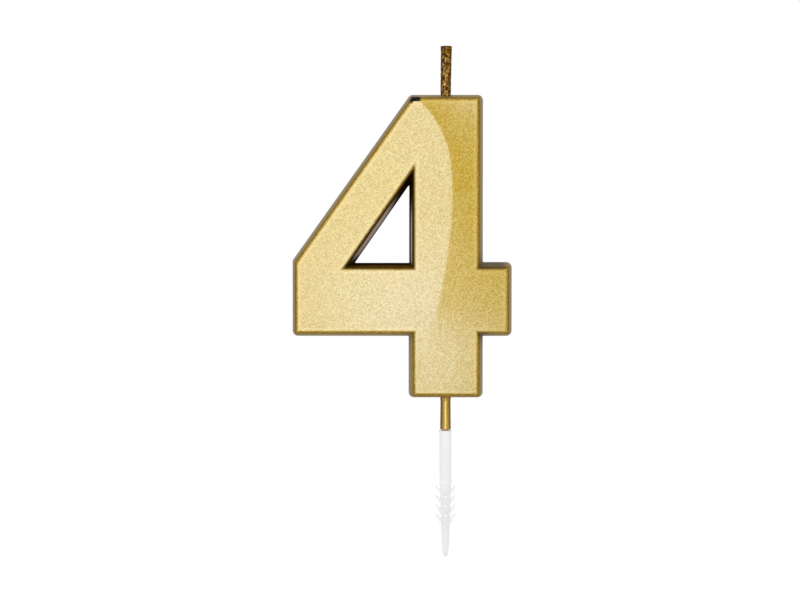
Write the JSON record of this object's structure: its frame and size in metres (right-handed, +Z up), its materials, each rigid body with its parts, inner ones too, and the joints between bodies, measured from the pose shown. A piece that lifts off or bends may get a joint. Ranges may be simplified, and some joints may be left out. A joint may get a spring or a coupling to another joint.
{
  "type": "number candle",
  "caption": "Metallic numeral candle on a plaited wick, plugged into a barbed cake pick; the candle lifts off the pick and turns in it.",
  "frame": {"origin": "on the wick's axis at the rim of the pick, which is where the icing comes up to", "axes": "+Z up along the wick, -Y the way the numeral's face looks, +X to the right as seen from the front"},
  "size_m": [0.0508, 0.01, 0.1176],
  "materials": {
    "gold_wax": "moulded wax sprayed with metallic gold lacquer, satin with a fine grain",
    "gold_sleeve": "smooth, sprayed with metallic gold lacquer, glossy",
    "gold_wick": "plaited cotton, waxed and sprayed with metallic gold lacquer",
    "white_plastic": "moulded white polypropylene, slightly see-through, semi-matt"
  },
  "bodies": {
    "pick": {"pick": "white_plastic"},
    "sleeve": {"tail_sleeve": "gold_sleeve"},
    "candle": {"numeral_body": "gold_wax", "wick": "gold_wick"}
  },
  "joints": [
    {"name": "candle_lift", "type": "slide", "parent": "pick", "child": "sleeve", "axis": [0, 0, 1], "range_m": [0, 0.01]},
    {"name": "candle_turn", "type": "hinge", "parent": "sleeve", "child": "candle", "pos_m": [0, 0, 0.004], "axis": [0, 0, 1], "continuous": true}
  ]
}
